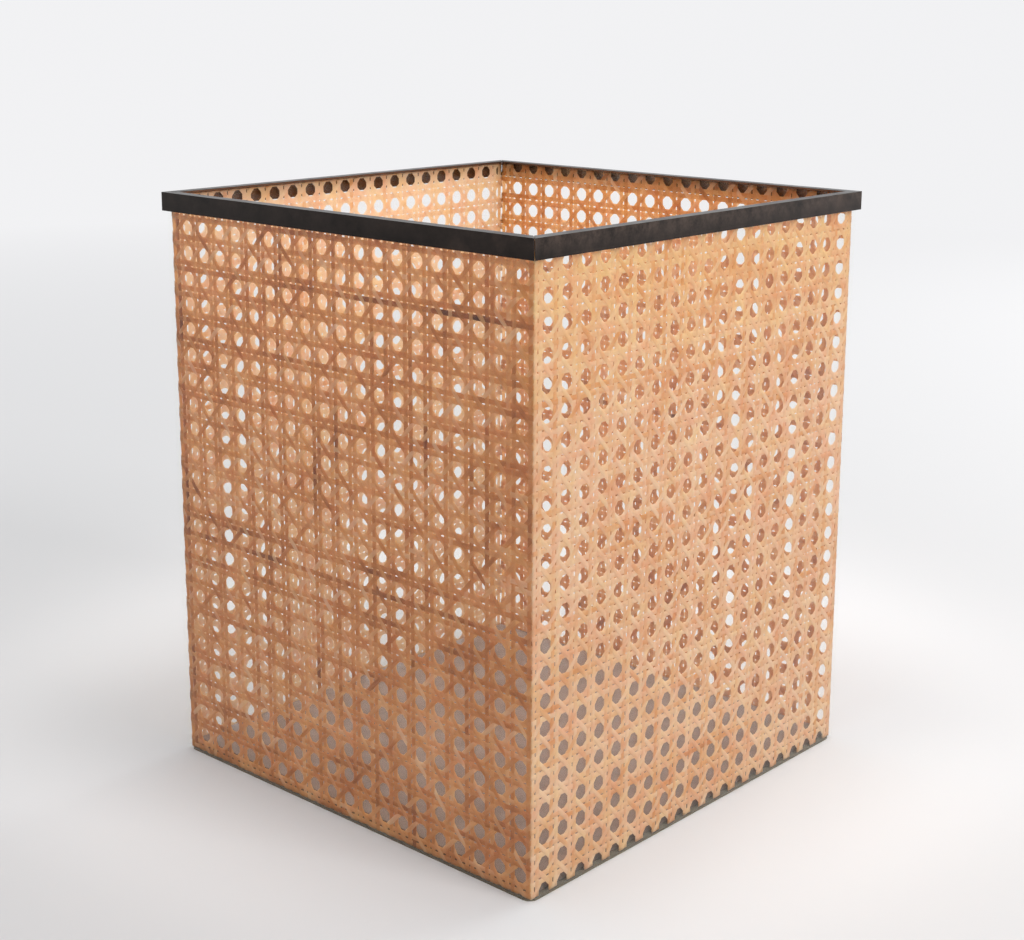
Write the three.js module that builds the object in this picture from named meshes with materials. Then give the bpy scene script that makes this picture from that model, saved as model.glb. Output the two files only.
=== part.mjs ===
// Square wastebasket: four laminated walls of clear acrylic with cane webbing inside,
// a dark metal angle round the rim, a dark base panel and a felt pad underneath.
//
// Millimetres, +Z up. The origin is the centre of the felt's underside, so the basket
// stands on z = 0. The front wall faces -Y, the right wall +X, the back +Y, the left -X.
import * as THREE from "three";

// ---- Driving dimensions ----------------------------------------------------------------

const canePitch = 12.7; // one cell of standard half-inch cane webbing
const wallWidth = 20 * canePitch; // outside to outside of two opposite walls
const overallHeight = 24 * canePitch; // floor to the top of the rim
const wallThickness = 5;
const sheetThickness = 1.7; // each of the two acrylic sheets of a wall
const caneThickness = 1.2; // the webbing between them
const wallCornerRadius = 2.5; // polished outer edge where two walls meet
const railMetal = 1; // wall of the angle that makes the rim
const railHeight = 9.5; // outer flange of that angle
const baseThickness = 5;
const feltThickness = 0.6;
const feltCornerRadius = 5;
const feltInset = 1.5; // the felt is cut just inside the walls' outer faces

const glueGap = 0.2; // laminated and glued faces
const mitreGap = 0.3; // between the two pieces that meet at a corner
const baseGap = 0.3; // round the base panel, inside the walls

// ---- Derived sizes ---------------------------------------------------------------------

const halfWidth = wallWidth / 2;
const wallBottom = feltThickness + glueGap;
const wallTop = overallHeight - railMetal - glueGap;
const caneDepth = (wallThickness - caneThickness) / 2;
const innerSheetDepth = wallThickness - sheetThickness;
const railOuterFace = halfWidth + glueGap + railMetal;
const railInnerFace = halfWidth - wallThickness;
const arcSteps = 8;

// ---- Materials -------------------------------------------------------------------------

function acrylic() {
  return new THREE.MeshStandardMaterial({
    color: 0xf2f4f2,
    roughness: 0.05,
    metalness: 0,
    transparent: true,
    opacity: 0.2,
  });
}

function cane() {
  return new THREE.MeshStandardMaterial({ color: 0xd9ab7c, roughness: 0.55, metalness: 0 });
}

function gunmetal() {
  return new THREE.MeshStandardMaterial({ color: 0x342e2b, roughness: 0.35, metalness: 0.9 });
}

function darkAcrylic() {
  return new THREE.MeshStandardMaterial({ color: 0x3a3330, roughness: 0.12, metalness: 0 });
}

function greenFelt() {
  return new THREE.MeshStandardMaterial({ color: 0x47462f, roughness: 0.95, metalness: 0 });
}

// ---- Helpers ---------------------------------------------------------------------------

// A plan outline raised from one height to another.
function raise(outline, bottom, top) {
  const solid = new THREE.ExtrudeGeometry(new THREE.Shape(outline), {
    depth: top - bottom,
    bevelEnabled: false,
  });
  return solid.translate(0, 0, bottom);
}

// Points on a quarter turn or less, from one angle to another, both in radians.
function arc(centreX, centreY, radius, from, to) {
  const points = [];
  for (let i = 0; i <= arcSteps; i += 1) {
    const angle = from + ((to - from) * i) / arcSteps;
    const x = centreX + radius * Math.cos(angle);
    const y = centreY + radius * Math.sin(angle);
    points.push(new THREE.Vector2(x, y));
  }
  return points;
}

function squareOutline(half) {
  return [
    new THREE.Vector2(-half, -half),
    new THREE.Vector2(half, -half),
    new THREE.Vector2(half, half),
    new THREE.Vector2(-half, half),
  ];
}

function roundedSquareOutline(half, radius) {
  const centre = half - radius;
  const quarter = Math.PI / 2;
  return [
    ...arc(centre, centre, radius, 0, quarter),
    ...arc(-centre, centre, radius, quarter, 2 * quarter),
    ...arc(-centre, -centre, radius, 2 * quarter, 3 * quarter),
    ...arc(centre, -centre, radius, 3 * quarter, 4 * quarter),
  ];
}

// How far a side piece reaches from the centre line at a given distance from the basket's
// centre plane: its ends lie on the two diagonals, less half of the corner joint.
function mitredReach(distance) {
  return distance - mitreGap / Math.SQRT2;
}

// ---- Pieces, drawn for the front side --------------------------------------------------

// One layer of a wall, between two depths behind the wall's outer face.
function wallLayer(outerDepth, innerDepth) {
  const outer = halfWidth - outerDepth;
  const inner = halfWidth - innerDepth;
  const outline = [
    new THREE.Vector2(-mitredReach(outer), -outer),
    new THREE.Vector2(mitredReach(outer), -outer),
    new THREE.Vector2(mitredReach(inner), -inner),
    new THREE.Vector2(-mitredReach(inner), -inner),
  ];
  return raise(outline, wallBottom, wallTop);
}

// The outer sheet carries half of the rounded corner at each end. Its arc starts on the
// flat face and stops where it meets the corner joint.
function outerSheet() {
  const inner = halfWidth - sheetThickness;
  const centre = halfWidth - wallCornerRadius;
  const sweep = Math.PI / 4 - Math.asin(mitreGap / 2 / wallCornerRadius);
  const down = -Math.PI / 2;
  const outline = [
    ...arc(-centre, -centre, wallCornerRadius, down - sweep, down),
    ...arc(centre, -centre, wallCornerRadius, down, down + sweep),
    new THREE.Vector2(mitredReach(inner), -inner),
    new THREE.Vector2(-mitredReach(inner), -inner),
  ];
  return raise(outline, wallBottom, wallTop);
}

function caneSheet() {
  return wallLayer(caneDepth, caneDepth + caneThickness);
}

function innerSheet() {
  return wallLayer(innerSheetDepth, wallThickness);
}

// The rim's angle section: one flange lies on top of the wall, the other hangs outside it.
// The section is extruded along X, then each end is slid onto the diagonal.
function rimRail() {
  const section = new THREE.Shape([
    new THREE.Vector2(-railOuterFace, overallHeight - railHeight),
    new THREE.Vector2(-railOuterFace + railMetal, overallHeight - railHeight),
    new THREE.Vector2(-railOuterFace + railMetal, overallHeight - railMetal),
    new THREE.Vector2(-railInnerFace, overallHeight - railMetal),
    new THREE.Vector2(-railInnerFace, overallHeight),
    new THREE.Vector2(-railOuterFace, overallHeight),
  ]);
  const rail = new THREE.ExtrudeGeometry(section, { depth: 1, bevelEnabled: false });
  const position = rail.getAttribute("position");
  for (let i = 0; i < position.count; i += 1) {
    const y = position.getX(i);
    const z = position.getY(i);
    const end = position.getZ(i) > 0.5 ? 1 : -1;
    position.setXYZ(i, end * mitredReach(-y), y, z);
  }
  return rail;
}

function basePanel() {
  const half = halfWidth - wallThickness - baseGap;
  return raise(squareOutline(half), wallBottom, wallBottom + baseThickness);
}

function feltPad() {
  return raise(roundedSquareOutline(halfWidth - feltInset, feltCornerRadius), 0, feltThickness);
}

// ---- Assembly --------------------------------------------------------------------------

const basket = new THREE.Group();

function add(parent, name, geometry, material) {
  const piece = new THREE.Mesh(geometry, material);
  piece.name = name;
  parent.add(piece);
}

// The four sides are alike, each a quarter turn from the last.
["front", "right", "back", "left"].forEach((side, quarterTurns) => {
  const group = new THREE.Group();
  group.rotation.z = (quarterTurns * Math.PI) / 2;
  add(group, `${side}_outer_sheet`, outerSheet(), acrylic());
  add(group, `${side}_cane_webbing`, caneSheet(), cane());
  add(group, `${side}_inner_sheet`, innerSheet(), acrylic());
  add(group, `${side}_rim_rail`, rimRail(), gunmetal());
  basket.add(group);
});

add(basket, "base_panel", basePanel(), darkAcrylic());
add(basket, "felt_pad", feltPad(), greenFelt());

export default basket;
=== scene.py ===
import math
import random

import bpy
import numpy as np
from mathutils import Matrix, Vector


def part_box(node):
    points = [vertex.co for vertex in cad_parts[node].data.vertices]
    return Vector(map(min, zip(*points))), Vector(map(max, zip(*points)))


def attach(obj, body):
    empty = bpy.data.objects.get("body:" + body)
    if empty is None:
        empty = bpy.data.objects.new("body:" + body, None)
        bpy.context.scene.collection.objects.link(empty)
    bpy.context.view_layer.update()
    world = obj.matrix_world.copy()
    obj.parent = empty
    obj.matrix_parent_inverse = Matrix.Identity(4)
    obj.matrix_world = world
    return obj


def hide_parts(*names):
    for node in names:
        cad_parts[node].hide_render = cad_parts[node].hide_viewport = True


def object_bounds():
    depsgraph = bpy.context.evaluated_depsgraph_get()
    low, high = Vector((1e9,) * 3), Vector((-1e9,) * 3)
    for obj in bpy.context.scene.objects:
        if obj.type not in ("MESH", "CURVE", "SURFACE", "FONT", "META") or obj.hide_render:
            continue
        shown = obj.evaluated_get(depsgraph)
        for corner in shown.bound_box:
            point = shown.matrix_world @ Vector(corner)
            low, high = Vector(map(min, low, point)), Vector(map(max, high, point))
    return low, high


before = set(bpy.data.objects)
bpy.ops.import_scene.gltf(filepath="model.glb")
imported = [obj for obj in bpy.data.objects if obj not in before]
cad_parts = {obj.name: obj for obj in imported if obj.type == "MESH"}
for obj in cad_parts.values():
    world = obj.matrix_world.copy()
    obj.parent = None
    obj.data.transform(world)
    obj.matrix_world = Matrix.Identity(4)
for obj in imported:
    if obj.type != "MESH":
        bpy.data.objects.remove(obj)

cad_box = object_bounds()

# The basket's frame is in metres: front wall -Y, right wall +X, back +Y, left -X.
MM = 0.001
SIDES = ("front", "right", "back", "left")

# ---- Cane webbing: sizes in millimetres ------------------------------------------------

CELL_WIDTH = 12.8           # one cell of the weave across the wall
CELL_HEIGHT = 13.17         # and up it: the webbing is stretched a little lengthwise
PAIR_OFFSET = 1.66          # each upright or level strand lies this far from its pair's line
PAIR_STRAND_WIDTH = 2.7
SLANT_STRAND_WIDTH = 2.45
WIDTH_RANGE = (0.94, 1.06)  # a strand's own width, as a share of the usual one
STRAND_THICKNESS = 0.25
STEPS_PER_CELL = 8

PAIR_WAVE = 0.11            # how far strands of a pair rise and fall at their crossings
SLANT_WAVE = 0.22           # the same for the slanting strands
SLANT_FLATNESS = 1.8        # how flat those lie as they pass over and under a pair
DRIFT_WAVES = (55, 130)     # lengths of the two waves in which a strand wanders from its line
PAIR_DRIFT = 0.07           # the most that each of those waves carries it
SLANT_DRIFT = 0.10
SLANT_SHIFT = 0.1           # usual distance of a whole slanting strand from its line

EDGE_MARGIN = 0.3           # bare acrylic between the webbing and the edges of the wall
EDGE_REACH = 0.6            # a strand is left out if its middle is further past an edge
NARROWEST_STRIP = 0.8       # a wider gap beside an edge is filled with a strip of its own
STRIP_CLEARANCE = 0.1       # left free on each side of that strip
END_STEP = 0.3              # from a slanting strand's cut end to its next ring
SHORTEST_SLANT = 1.0        # a shorter one in a corner is left out

# ---- Cane webbing: tones, from 0, pale straw, to 1, nearly black ------------------------

# Each wall's usual tone carries painted shade and light: the shaded front and back walls are
# painted darker, the lit right and left walls paler.
WALL_TONE_AND_SHADE = {"front": 0.47, "right": 0.17, "back": 0.45, "left": 0.05}
PAIR_TONE = 0.02            # upright and level strands are a little darker than that
# Partly painted light: slanting strands are paler straw of their own, and are painted paler still
# to offset the darker look they take where they lie over other strands against the backlight.
SLANT_TONE_AND_LIGHT = -0.07          # and slanting ones paler
TONE_SPREAD = 0.085         # from one strand to the next
TONE_WAVES = ((18, 0.03), (47, 0.05), (110, 0.05))  # lengths and depths along a strand
STAINED_SHARE = 0.14        # of the strands have a darker stretch at a random place
STAIN_REACH = (8, 40)       # millimetres from its middle to its soft edge
STAIN_DEPTH = (0.06, 0.22)

# Strands that have gone dark for a stretch: the set they belong to, how far the middle of the
# stretch is from the wall's left edge and below the rim's top, its length, and how much darker
# it is.
DARK_STRETCHES = {
    "front": (
        ("level", 183, 38.7, 92, 0.12),
        ("falling", 205, 38, 32, 0.26),
        ("upright", 185.6, 106, 30, 0.22),
        ("rising", 183.7, 120.5, 5, 0.40),
        ("falling", 24, 161, 60, 0.24),
        ("rising", 58, 166, 50, 0.20),
    ),
}

# Where the weave starts on each wall: the first column of holes, measured from the wall's
# left edge as seen from outside, and the first row, measured down from the rim's top.
FIRST_HOLE = {
    "front": (14.7, 17.3),
    "right": (11.75, 12.6),
    "back": (7.8, 2.5),
    "left": (4.3, 6.0),
}


# ---- Small helpers ---------------------------------------------------------------------

def quarter_turn(side):
    """The turn about Z that carries the front wall to this side."""
    return Matrix.Rotation(math.radians(90 * SIDES.index(side)), 4, "Z")


def link(obj):
    bpy.context.scene.collection.objects.link(obj)
    return obj


class Graph:
    """A short way to write the nodes of a material or of the world."""

    def __init__(self, owner, output="ShaderNodeOutputMaterial"):
        self.owner = owner
        owner.use_nodes = True
        self.tree = owner.node_tree
        self.tree.nodes.clear()
        self.output = self.node(output)

    def node(self, kind, inputs=None, **settings):
        """A new node. Each input is fed a value, or the output of another node."""
        made = self.tree.nodes.new(kind)
        for key, value in settings.items():
            setattr(made, key, value)
        for key, value in (inputs or {}).items():
            self.feed(made.inputs[key], value)
        return made

    def feed(self, socket, value):
        if isinstance(value, bpy.types.NodeSocket):
            self.tree.links.new(value, socket)
        else:
            socket.default_value = value

    def maths(self, operation, a, b=0.0, c=0.0):
        made = self.node("ShaderNodeMath", operation=operation)
        for socket, value in zip(made.inputs, (a, b, c)):
            self.feed(socket, value)
        return made.outputs[0]

    def noise(self, vector, scale, detail, roughness=0.55):
        inputs = {"Vector": vector, "Scale": scale, "Detail": detail, "Roughness": roughness}
        return self.node("ShaderNodeTexNoise", inputs).outputs["Fac"]

    def remap(self, value, low, high, to_low=0.0, to_high=1.0):
        """Carry a value from one range to another, and hold it at the ends."""
        inputs = {"Value": value, 1: low, 2: high, 3: to_low, 4: to_high}
        return self.node("ShaderNodeMapRange", inputs).outputs[0]

    def blend(self, share, a, b, mode="MIX"):
        """Mix two colours: a mix node has them as its inputs 6 and 7 and its output 2."""
        inputs = {0: share, 6: a, 7: b}
        return self.node("ShaderNodeMix", inputs, data_type="RGBA", blend_type=mode).outputs[2]

    def mix_shaders(self, share, a, b):
        inputs = {0: share, 1: a.outputs[0], 2: b.outputs[0]}
        return self.node("ShaderNodeMixShader", inputs).outputs[0]

    def ramp(self, value, stops):
        made = self.node("ShaderNodeValToRGB", {"Fac": value})
        ramp = made.color_ramp
        while len(ramp.elements) < len(stops):
            ramp.elements.new(0.5)
        for element, (place, colour) in zip(ramp.elements, stops):
            element.position = place
            element.color = (*colour, 1)
        return made.outputs["Color"]

    def attribute(self, name, output="Fac"):
        return self.node("ShaderNodeAttribute", attribute_name=name).outputs[output]

    def place(self):
        return self.node("ShaderNodeTexCoord").outputs["Object"]

    def shine(self, surface):
        """Finish the graph with its surface, and give back its material or world."""
        self.feed(self.output.inputs["Surface"], surface)
        return self.owner


def material_graph(name):
    return Graph(bpy.data.materials.new(name))


# ---- Materials -------------------------------------------------------------------------

GLOW_SHARE = 0.6  # of the cane's shading is light that shines through it


def cane_colour(g, place, fibres):
    """Straw to dark brown by each strand's tone, with blotches, stains and shifts of hue."""
    strand = g.attribute("strand", "Vector")
    blotch_map = g.node("ShaderNodeMapping", {"Vector": strand, "Scale": (0.25, 0.06, 1.0)})
    blotches = g.noise(blotch_map.outputs[0], scale=1.0, detail=2.0)
    stains = g.noise(place, scale=24.0, detail=4.0, roughness=0.6)
    shade = g.maths("ADD", g.attribute("tone"), g.remap(fibres, 0.3, 0.7, -0.05, 0.05))
    shade = g.maths("ADD", shade, g.remap(blotches, 0.3, 0.7, -0.09, 0.09))
    shade = g.maths("ADD", shade, g.remap(stains, 0.35, 0.65, -0.08, 0.10))
    colour = g.ramp(shade, (
        (0.0, (0.90, 0.71, 0.50)),
        (0.22, (0.86, 0.60, 0.37)),
        (0.4, (0.80, 0.45, 0.185)),
        (0.6, (0.66, 0.29, 0.09)),
        (0.8, (0.40, 0.14, 0.04)),
        (1.0, (0.08, 0.028, 0.014)),
    ))
    hue = g.noise(place, scale=95.0, detail=2.0)
    pink = g.remap(hue, 0.5, 0.66, 0.0, 0.3)
    colour = g.blend(pink, colour, (1.0, 0.72, 0.66, 1), "MULTIPLY")
    golden = g.remap(hue, 0.5, 0.34, 0.0, 0.4)
    colour = g.blend(golden, colour, (1.0, 0.96, 0.66, 1), "MULTIPLY")
    return sunned(g, place, colour)


def sunned(g, place, colour):
    """The right wall's cane has turned golden towards the rim."""
    spot = g.node("ShaderNodeSeparateXYZ", {"Vector": place}).outputs
    near_rim = g.remap(spot["Z"], 0.21, 0.28)
    right_wall = g.remap(spot["X"], 0.11, 0.12)
    share = g.maths("MULTIPLY", g.maths("MULTIPLY", near_rim, right_wall), 0.6)
    return g.blend(share, colour, (1.0, 0.93, 0.62, 1), "MULTIPLY")


def cane_material():
    g = material_graph("cane")
    strand = g.attribute("strand", "Vector")
    fibre_map = g.node("ShaderNodeMapping", {"Vector": strand, "Scale": (3.2, 0.06, 1.0)})
    fibres = g.noise(fibre_map.outputs[0], scale=1.6, detail=3.0, roughness=0.6)
    colour = cane_colour(g, g.place(), fibres)
    bump = g.node("ShaderNodeBump", {"Height": fibres, "Strength": 0.25, "Distance": 0.0002})
    skin = g.node("ShaderNodeBsdfPrincipled", {
        "Base Color": colour,
        "Roughness": g.remap(fibres, 0.3, 0.7, 0.36, 0.52),
        "Normal": bump.outputs[0],
        "IOR": 1.5,
        "Specular IOR Level": 0.35,
    })
    # Light crosses two faces of a strand on its way through, so each one takes half the tint.
    half_tint = g.node("ShaderNodeGamma", {"Color": colour, "Gamma": 0.5}).outputs[0]
    glow = g.node("ShaderNodeBsdfTranslucent", {"Color": half_tint})
    return g.shine(g.mix_shaders(GLOW_SHARE, skin, glow))


def acrylic_material():
    """Clear, with a smeared gloss that is weak face on and strong at a glancing angle."""
    g = material_graph("acrylic")
    smears = g.noise(g.place(), scale=22.0, detail=4.0)
    roughness = g.remap(smears, 0.35, 0.75, 0.03, 0.12)
    clear = g.node("ShaderNodeBsdfTransparent", {"Color": (0.998, 1.0, 0.998, 1)})
    mirror = g.node("ShaderNodeBsdfAnisotropic", {"Color": (1, 1, 1, 1), "Roughness": roughness})
    facing = g.node("ShaderNodeLayerWeight", {"Blend": 0.5}).outputs["Facing"]
    glancing = g.maths("POWER", facing, 5.0)
    mirrored = g.maths("MULTIPLY_ADD", glancing, 0.6, 0.02)
    return g.shine(g.mix_shaders(mirrored, clear, mirror))


def gunmetal_material():
    """Dark outside. The flange is scuffed, and painted lighter towards its top on the right rail
    as a painted highlight. The metal inside is painted brown as a painted reflection of the cane.
    """
    low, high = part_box("right_rim_rail")
    g = material_graph("gunmetal")
    place = g.place()
    spot = g.node("ShaderNodeSeparateXYZ", {"Vector": place}).outputs
    patina = g.noise(place, scale=60.0, detail=4.0)
    colour = g.ramp(patina, (
        (0.3, (0.010, 0.008, 0.007)),
        (0.6, (0.020, 0.015, 0.013)),
        (0.8, (0.050, 0.034, 0.027)),
    ))
    # The scuffs are wear. A painted highlight sets them much stronger on the right rail, the lit
    # side, and towards the flange's top.
    scuffs = g.remap(g.noise(place, scale=150.0, detail=5.0, roughness=0.7), 0.3, 0.85)
    top_highlight = g.remap(spot["Z"], low.z + 2 * MM, low.z + 7 * MM, 0.2, 0.6)
    right_wall = g.remap(spot["X"], high.x - 1 * MM, high.x, 0.2, 1.0)
    scuffs_and_top_highlight = g.maths("MULTIPLY", scuffs, g.maths("MULTIPLY", top_highlight, right_wall))
    colour = g.blend(scuffs_and_top_highlight, colour, (0.18, 0.125, 0.10, 1))
    # Painted reflection: the rail's inner faces, in the shaded gap behind the flange, are painted
    # brown, the cane's warm light seen on the metal.
    outward = g.maths("MAXIMUM", g.maths("ABSOLUTE", spot["X"]), g.maths("ABSOLUTE", spot["Y"]))
    behind_flange = g.remap(outward, high.x - 0.8 * MM, high.x - 1.1 * MM)
    under_top = g.remap(spot["Z"], high.z - 0.1 * MM, high.z - 0.2 * MM)
    inside = g.maths("MULTIPLY", behind_flange, under_top)
    colour = g.blend(inside, colour, (0.15, 0.085, 0.055, 1))
    metal = g.node("ShaderNodeBsdfPrincipled", {
        "Base Color": colour,
        "Metallic": 0.85,
        "Roughness": g.remap(patina, 0.3, 0.7, 0.28, 0.42),
    })
    return g.shine(metal.outputs[0])


def base_material():
    g = material_graph("dark_base")
    dust = g.noise(g.place(), scale=120.0, detail=4.0, roughness=0.65)
    colour = g.ramp(dust, ((0.35, (0.12, 0.083, 0.066)), (0.8, (0.20, 0.148, 0.122))))
    panel = g.node("ShaderNodeBsdfPrincipled", {
        "Base Color": colour,
        "Roughness": g.remap(dust, 0.3, 0.7, 0.28, 0.40),
    })
    return g.shine(panel.outputs[0])


def felt_material():
    g = material_graph("felt")
    fuzz = g.noise(g.place(), scale=900.0, detail=4.0, roughness=0.7)
    colour = g.ramp(fuzz, ((0.3, (0.055, 0.045, 0.022)), (0.7, (0.12, 0.10, 0.055))))
    bump = g.node("ShaderNodeBump", {"Height": fuzz, "Strength": 0.6, "Distance": 0.0004})
    felt = g.node("ShaderNodeBsdfPrincipled", {
        "Base Color": colour,
        "Roughness": 0.95,
        "Sheen Weight": 0.3,
        "Normal": bump.outputs[0],
    })
    return g.shine(felt.outputs[0])


# ---- Weaving ---------------------------------------------------------------------------

# A strand's section: flat back, gently rounded face. Across and out, as shares of the half
# width and of the thickness.
SECTION = np.array([(-1, -0.5), (-0.8, 0.34), (0, 0.5), (0.8, 0.34), (1, -0.5)])
STRAND_SPACING = 7.3  # between strands in the grain's own space, so that no two grains match


class Weave:
    """What the strands of one wall share, on the wall unrolled to millimetres: its edges, its
    first hole, its usual tone with painted shade in it, and its own source of chance."""

    def __init__(self, side):
        low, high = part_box("front_cane_webbing")
        self.left = low.x / MM + EDGE_MARGIN
        self.right = high.x / MM - EDGE_MARGIN
        self.bottom = low.z / MM + EDGE_MARGIN
        self.top = high.z / MM - EDGE_MARGIN
        self.wall_left = -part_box("right_outer_sheet")[1].x / MM
        self.rim_top = cad_box[1].z / MM
        from_left, from_top = FIRST_HOLE[side]
        self.hole_across = self.wall_left + from_left
        self.hole_up = self.rim_top - from_top
        self.tone = WALL_TONE_AND_SHADE[side]
        self.source = random.Random(f"webbing of the {side} wall")


class Strand:
    """One strip of cane on the unrolled wall: a ring of points for each step along it."""

    def __init__(self, across, out, up, half_width, along, tone):
        self.rings = np.stack(np.broadcast_arrays(across, out, up), axis=2)
        self.half_width = half_width
        self.along = along
        self.tone = tone


def wander(source, length, reach):
    """A slow sideways drift along a strand, in millimetres."""
    total = np.zeros_like(length)
    for wavelength in DRIFT_WAVES:
        phase = source.uniform(0, 2 * math.pi)
        size = source.uniform(0.3, 1) * reach
        total += size * np.sin(length * 2 * math.pi / wavelength + phase)
    return total


def stretch(distance, reach, hardness):
    """1 near the middle of a stretch and 0 past its reach, with a soft or a harder edge."""
    return np.exp(-((distance / reach) ** hardness))


def strand_tone(source, length, usual):
    """How dark a strand is along its length."""
    tone = np.full_like(length, usual + source.gauss(0, TONE_SPREAD))
    for wavelength, depth in TONE_WAVES:
        phase = source.uniform(0, 2 * math.pi)
        tone += depth * np.sin(length * 2 * math.pi / wavelength + phase)
    if source.random() < STAINED_SHARE:
        middle = source.uniform(length[0], length[-1])
        reach = source.uniform(*STAIN_REACH)
        depth = source.uniform(*STAIN_DEPTH)
        tone += depth * stretch(length - middle, reach, 4)
    return tone


def weave_shape(phase):
    """Over one strand of a pair and under the other; flat half way to the next pair."""
    return np.sin(4 * math.pi * phase) * np.cos(math.pi * phase) ** 2


def slant_shape(phase):
    """Over an upright pair and under a level one, held flat as it passes each."""
    rounded = np.cos(2 * math.pi * phase)
    return np.tanh(SLANT_FLATNESS * rounded) / math.tanh(SLANT_FLATNESS)


def wrapped(value, period):
    """The distance from the nearest whole number of periods, as a share of one period."""
    phase = value / period
    return phase - np.round(phase)


def pair_lines(first_hole, cell, low, high):
    """The lines half way between holes, from one edge of the wall to the other."""
    start = first_hole + cell / 2
    first = math.floor((low - start) / cell)
    last = math.ceil((high - start) / cell)
    return [start + index * cell for index in range(first, last + 1)]


def steps_along(ends, cell):
    """Places along a strand from end to end, a few to each cell that it crosses."""
    return np.linspace(*ends, round((ends[1] - ends[0]) / cell * STEPS_PER_CELL) + 1)


def on_wall(centre, limits):
    """Whether a strand's middle is between the edges, or so near that part of it shows."""
    return limits[0] - EDGE_REACH < centre < limits[1] + EDGE_REACH


def straight_strand(weave, upright, centre, half_width, rise, run, limits):
    """An upright or level strand, trimmed where it would cross the wall's edge."""
    sideways = SECTION[:, 0] * half_width * (1 if upright else -1)
    place = np.clip(centre[:, None] + sideways, *limits)
    out = rise[:, None] + SECTION[:, 1] * STRAND_THICKNESS
    across, up = (place, run[:, None]) if upright else (run[:, None], place)
    tone = strand_tone(weave.source, run, weave.tone + PAIR_TONE)
    return Strand(across, out, up, half_width, run, tone)


def straight_strands(weave, upright):
    """Every upright strand of a wall, or every level one."""
    sideways = ((weave.left, weave.right), weave.hole_across, CELL_WIDTH)
    upwards = ((weave.bottom, weave.top), weave.hole_up, CELL_HEIGHT)
    limits, hole, cell = sideways if upright else upwards
    ends, cross_hole, cross_cell = upwards if upright else sideways
    run = steps_along(ends, cross_cell)
    phase = wrapped(run - cross_hole - cross_cell / 2, cross_cell)
    strands = []
    for line in pair_lines(hole, cell, *limits):
        for member in (-1, 1):
            half_width = PAIR_STRAND_WIDTH / 2 * weave.source.uniform(*WIDTH_RANGE)
            centre = line + member * PAIR_OFFSET + wander(weave.source, run, PAIR_DRIFT)
            if not on_wall(centre.mean(), limits):
                continue
            lift = -member if upright else member
            rise = lift * PAIR_WAVE * weave_shape(phase)
            strands.append(straight_strand(weave, upright, centre, half_width, rise, run, limits))
    return strands


def edge_strands(weave):
    """A narrow strip down each edge of the wall that no upright strand reaches."""
    limits = (weave.left, weave.right)
    lines = pair_lines(weave.hole_across, CELL_WIDTH, *limits)
    centres = [line + member * PAIR_OFFSET for line in lines for member in (-1, 1)]
    inside = [centre for centre in centres if on_wall(centre, limits)]
    gaps = (
        (weave.left, min(inside) - PAIR_STRAND_WIDTH / 2),
        (max(inside) + PAIR_STRAND_WIDTH / 2, weave.right),
    )
    run = steps_along((weave.bottom, weave.top), CELL_HEIGHT)
    strands = []
    for low, high in gaps:
        if high - low > NARROWEST_STRIP:
            centre = np.full_like(run, (low + high) / 2)
            half_width = min((high - low) / 2 - STRIP_CLEARANCE, PAIR_STRAND_WIDTH / 2)
            flat = np.zeros_like(run)
            strands.append(straight_strand(weave, True, centre, half_width, flat, run, limits))
    return strands


def slanting_strand(weave, line, slope, half_width):
    """A strand that runs from edge to edge of the wall, its ends cut along the edges."""
    length = math.hypot(1, slope)
    sideways = SECTION[:, 0] * half_width
    lines = line - sideways * length
    aside = sideways * slope / length
    reached = (np.array([[weave.bottom], [weave.top]]) - lines) / slope + weave.hole_across
    starts = np.maximum(reached.min(axis=0), weave.left)
    stops = np.minimum(reached.max(axis=0), weave.right)
    first = (starts - aside).max() + END_STEP
    last = (stops - aside).min() - END_STEP
    if last - first < SHORTEST_SLANT:
        return None
    steps = np.linspace(first, last, max(2, round((last - first) / CELL_WIDTH * STEPS_PER_CELL)))
    across = np.vstack([starts, steps[:, None] + aside, stops])
    centre = np.concatenate([[starts.mean()], steps, [stops.mean()]])
    along = centre * length
    drift = wander(weave.source, along, SLANT_DRIFT)
    up = lines + slope * (across - weave.hole_across) + drift[:, None]
    phase = wrapped(centre - weave.hole_across - CELL_WIDTH / 2, CELL_WIDTH)
    rise = math.copysign(SLANT_WAVE, slope) * slant_shape(phase)
    out = rise[:, None] + SECTION[:, 1] * STRAND_THICKNESS
    tone = strand_tone(weave.source, along, weave.tone + SLANT_TONE_AND_LIGHT)
    return Strand(across, out, up, half_width, along, tone)


def slanting_strands(weave, climb):
    """Every strand that climbs to the right (climb 1) or to the left (climb -1)."""
    slope = climb * CELL_HEIGHT / CELL_WIDTH
    reach = (weave.right - weave.left) * abs(slope)
    strands = []
    for line in pair_lines(weave.hole_up, CELL_HEIGHT, weave.bottom - reach, weave.top + reach):
        half_width = SLANT_STRAND_WIDTH / 2 * weave.source.uniform(*WIDTH_RANGE)
        shifted = line + weave.source.gauss(0, SLANT_SHIFT)
        strand = slanting_strand(weave, shifted, slope, half_width)
        if strand:
            strands.append(strand)
    return strands


def darken(strands, spot, length, depth):
    """Darken the strand that passes nearest to a spot, for a stretch on each side of it."""
    def distances(strand):
        return np.hypot(*(strand.rings.mean(axis=1)[:, (0, 2)] - spot).T)

    nearest = min(strands, key=lambda strand: distances(strand).min())
    nearest.tone = nearest.tone + depth * stretch(distances(nearest), length / 2, 6)


def sharpen_backs(mesh):
    """Keep the two edges of each strand's flat back crisp, so that the back shades as flat."""
    ends = np.empty(2 * len(mesh.edges), dtype=np.int32)
    mesh.edges.foreach_get("vertices", ends)
    corners = ends.reshape(-1, 2) % len(SECTION)
    lengthwise = corners[:, 0] == corners[:, 1]
    crisp = lengthwise & np.isin(corners[:, 0], (0, len(SECTION) - 1))
    mesh.attributes.new("sharp_edge", "BOOLEAN", "EDGE").data.foreach_set("value", crisp)


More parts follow.
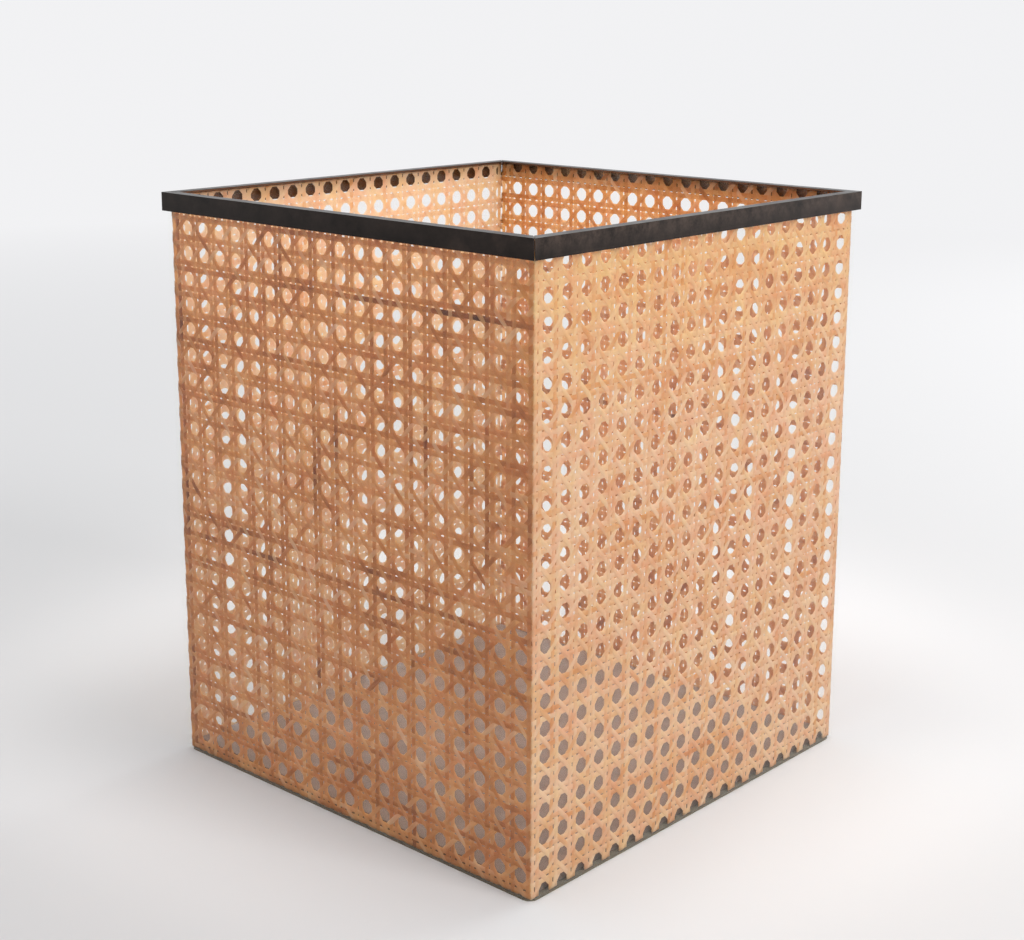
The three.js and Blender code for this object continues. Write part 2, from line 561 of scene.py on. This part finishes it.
def strand_faces(strands):
    """The sides of each strand, ring to ring along it, and a cap at each of its ends."""
    ring = len(SECTION)
    corner = np.arange(ring)
    following = (corner + 1) % ring
    sides = []
    caps = []
    start = 0
    for strand in strands:
        count = len(strand.rings)
        first = start + ring * np.arange(count - 1)[:, None]
        sides.append(np.stack([
            first + corner, first + following,
            first + ring + following, first + ring + corner,
        ], axis=-1).reshape(-1, 4))
        last = start + ring * (count - 1)
        caps.append(np.arange(start + ring - 1, start - 1, -1).tolist())
        caps.append(np.arange(last, last + ring).tolist())
        start += ring * count
    return np.concatenate(sides).tolist() + caps


def strand_places(strands):
    """Where each point lies across and along its strand, each strand well away from the next."""
    places = []
    for number, strand in enumerate(strands):
        across = np.tile(SECTION[:, 0] * strand.half_width, len(strand.rings))
        along = np.repeat(strand.along, len(SECTION))
        apart = np.full_like(along, STRAND_SPACING * number)
        places.append(np.stack([across, along, apart], axis=1))
    return np.concatenate(places)


def strand_mesh(name, strands, plane, turn):
    """One mesh of closed strips, laid on the wall's middle plane and turned to its side."""
    across, out, up = np.concatenate([strand.rings.reshape(-1, 3) for strand in strands]).T
    points = np.stack([across, -out - plane, up], axis=1) * MM
    tones = np.concatenate([np.repeat(strand.tone, len(SECTION)) for strand in strands])
    mesh = bpy.data.meshes.new(name)
    mesh.from_pydata(points, [], strand_faces(strands))
    mesh.attributes.new("tone", "FLOAT", "POINT").data.foreach_set("value", tones)
    placed = mesh.attributes.new("strand", "FLOAT_VECTOR", "POINT")
    placed.data.foreach_set("vector", strand_places(strands).ravel())
    mesh.transform(turn)
    mesh.polygons.foreach_set("use_smooth", np.ones(len(mesh.polygons), dtype=bool))
    mesh.update()
    sharpen_backs(mesh)
    return mesh


def weave_wall(side, material):
    """The four sets of strands of one wall's webbing, in place of its plain CAD sheet."""
    weave = Weave(side)
    sets = {
        "upright": straight_strands(weave, True) + edge_strands(weave),
        "level": straight_strands(weave, False),
        "rising": slanting_strands(weave, 1),
        "falling": slanting_strands(weave, -1),
    }
    for kind, across, down, length, depth in DARK_STRETCHES.get(side, ()):
        darken(sets[kind], (weave.wall_left + across, weave.rim_top - down), length, depth)
    low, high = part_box("front_cane_webbing")
    plane = -(low.y + high.y) / 2 / MM
    turn = quarter_turn(side)
    for kind, strands in sets.items():
        name = f"{side}_{kind}_strands"
        piece = link(bpy.data.objects.new(name, strand_mesh(name, strands, plane, turn)))
        piece.data.materials.append(material)
        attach(piece, "root")
        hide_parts(f"{side}_cane_webbing")


# ---- CAD nodes: materials and eased edges ----------------------------------------------

def dress(node, material):
    """Give a CAD node its material."""
    obj = bpy.data.objects[node]
    obj.data.materials.clear()
    obj.data.materials.append(material)
    return obj


def ease_edges(obj, width):
    """Round an object's edges to a width in millimetres, and leave its mesh as it is."""
    bevel = obj.modifiers.new("eased_edges", "BEVEL")
    bevel.width = width * MM
    bevel.segments = 3
    bevel.limit_method = "ANGLE"
    bevel.angle_limit = math.radians(40)
    bevel.harden_normals = True


def dress_cad_nodes():
    acrylic = acrylic_material()
    gunmetal = gunmetal_material()
    for side in SIDES:
        for sheet in ("outer", "inner"):
            dress(f"{side}_{sheet}_sheet", acrylic)
        ease_edges(dress(f"{side}_rim_rail", gunmetal), width=0.25)
    dress("base_panel", base_material())
    dress("felt_pad", felt_material())


# ---- Stage, light and camera -----------------------------------------------------------

BACKDROP = (0.885, 0.885, 0.90, 1)  # the white sweep behind the basket
ROOM_LIGHT = 0.9                    # how bright the white room is all round
FLOOR_REACH = 40.0                  # metres from the basket to the floor's sides
FADE_START = 0.6                    # the floor turns into the backdrop between these
FADE_END = 2.4                      # distances from the basket


def build_floor():
    """A pale floor that fades into the backdrop's own light far from the basket."""
    mesh = bpy.data.meshes.new("floor")
    signs = ((-1, -1), (1, -1), (1, 1), (-1, 1))
    corners = [(x * FLOOR_REACH, y * FLOOR_REACH, 0) for x, y in signs]
    mesh.from_pydata(corners, [], [(0, 1, 2, 3)])
    floor = link(bpy.data.objects.new("floor", mesh))
    g = material_graph("floor_paper")
    paper = g.node("ShaderNodeBsdfDiffuse", {"Color": (0.65, 0.652, 0.656, 1)})
    sweep = g.node("ShaderNodeEmission", {"Color": BACKDROP})
    distance = g.node("ShaderNodeVectorMath", {0: g.place()}, operation="LENGTH").outputs["Value"]
    faded = g.remap(distance, FADE_START, FADE_END)
    floor.data.materials.append(g.shine(g.mix_shaders(faded, paper, sweep)))


def build_world():
    """An even white room. The camera sees the backdrop's own brightness instead."""
    world = bpy.data.worlds.new("studio")
    bpy.context.scene.world = world
    g = Graph(world, "ShaderNodeOutputWorld")
    room = g.node("ShaderNodeBackground", {"Color": (0.98, 0.985, 1, 1), "Strength": ROOM_LIGHT})
    sweep = g.node("ShaderNodeBackground", {"Color": BACKDROP})
    seen = g.node("ShaderNodeLightPath").outputs["Is Camera Ray"]
    g.shine(g.mix_shaders(seen, room, sweep))


def add_softbox(name, place, aim, size, watts, spread=180):
    """A square softbox; a grid on its face can narrow its spread, in degrees."""
    light = bpy.data.lights.new(name, "AREA")
    light.size = size
    light.spread = math.radians(spread)
    light.energy = watts
    light.color = (1.0, 0.985, 0.975)
    lamp = link(bpy.data.objects.new(name, light))
    lamp.visible_camera = False
    lamp.location = place
    lamp.rotation_euler = (Vector(aim) - Vector(place)).to_track_quat("-Z", "Y").to_euler()


def light_stage():
    build_world()
    middle = (cad_box[0] + cad_box[1]) / 2
    basket_floor = (-0.05, 0.05, 0.05)
    add_softbox("key", (1.9, 0.2, 1.15), middle, size=0.7, watts=20)
    add_softbox("overhead", (0.04, -0.04, 0.62), basket_floor, size=0.16, watts=0.5, spread=60)
    add_softbox("backlight", (0.3, 2.2, 1.1), middle, size=1.6, watts=27)


def add_camera():
    """A view of the basket from off its front right corner, and a little above its rim."""
    azimuth = math.radians(42.17)
    elevation = math.radians(12.27)
    roll = math.radians(0.24)
    distance = 0.9265
    aim = Vector((0.0022, 0.0020, 0.2052))
    back = Vector((
        math.sin(azimuth) * math.cos(elevation),
        -math.cos(azimuth) * math.cos(elevation),
        math.sin(elevation),
    ))
    data = bpy.data.cameras.new("camera")
    data.sensor_width = 36
    data.lens = 61.6
    data.shift_x = -0.0078
    data.shift_y = -0.088
    data.clip_start = 0.01
    camera = link(bpy.data.objects.new("camera", data))
    facing = (-back).to_track_quat("-Z", "Y").to_matrix()
    turn = (facing @ Matrix.Rotation(roll, 3, "Z")).to_4x4()
    camera.matrix_world = Matrix.Translation(aim + back * distance) @ turn
    bpy.context.scene.camera = camera


def set_picture():
    scene = bpy.context.scene
    scene.view_settings.view_transform = "Standard"
    scene.cycles.transparent_max_bounces = 32
    scene.cycles.max_bounces = 12
    scene.cycles.diffuse_bounces = 8


add_camera()
build_floor()
light_stage()
set_picture()
dress_cad_nodes()
cane = cane_material()
for side in SIDES:
    weave_wall(side, cane)
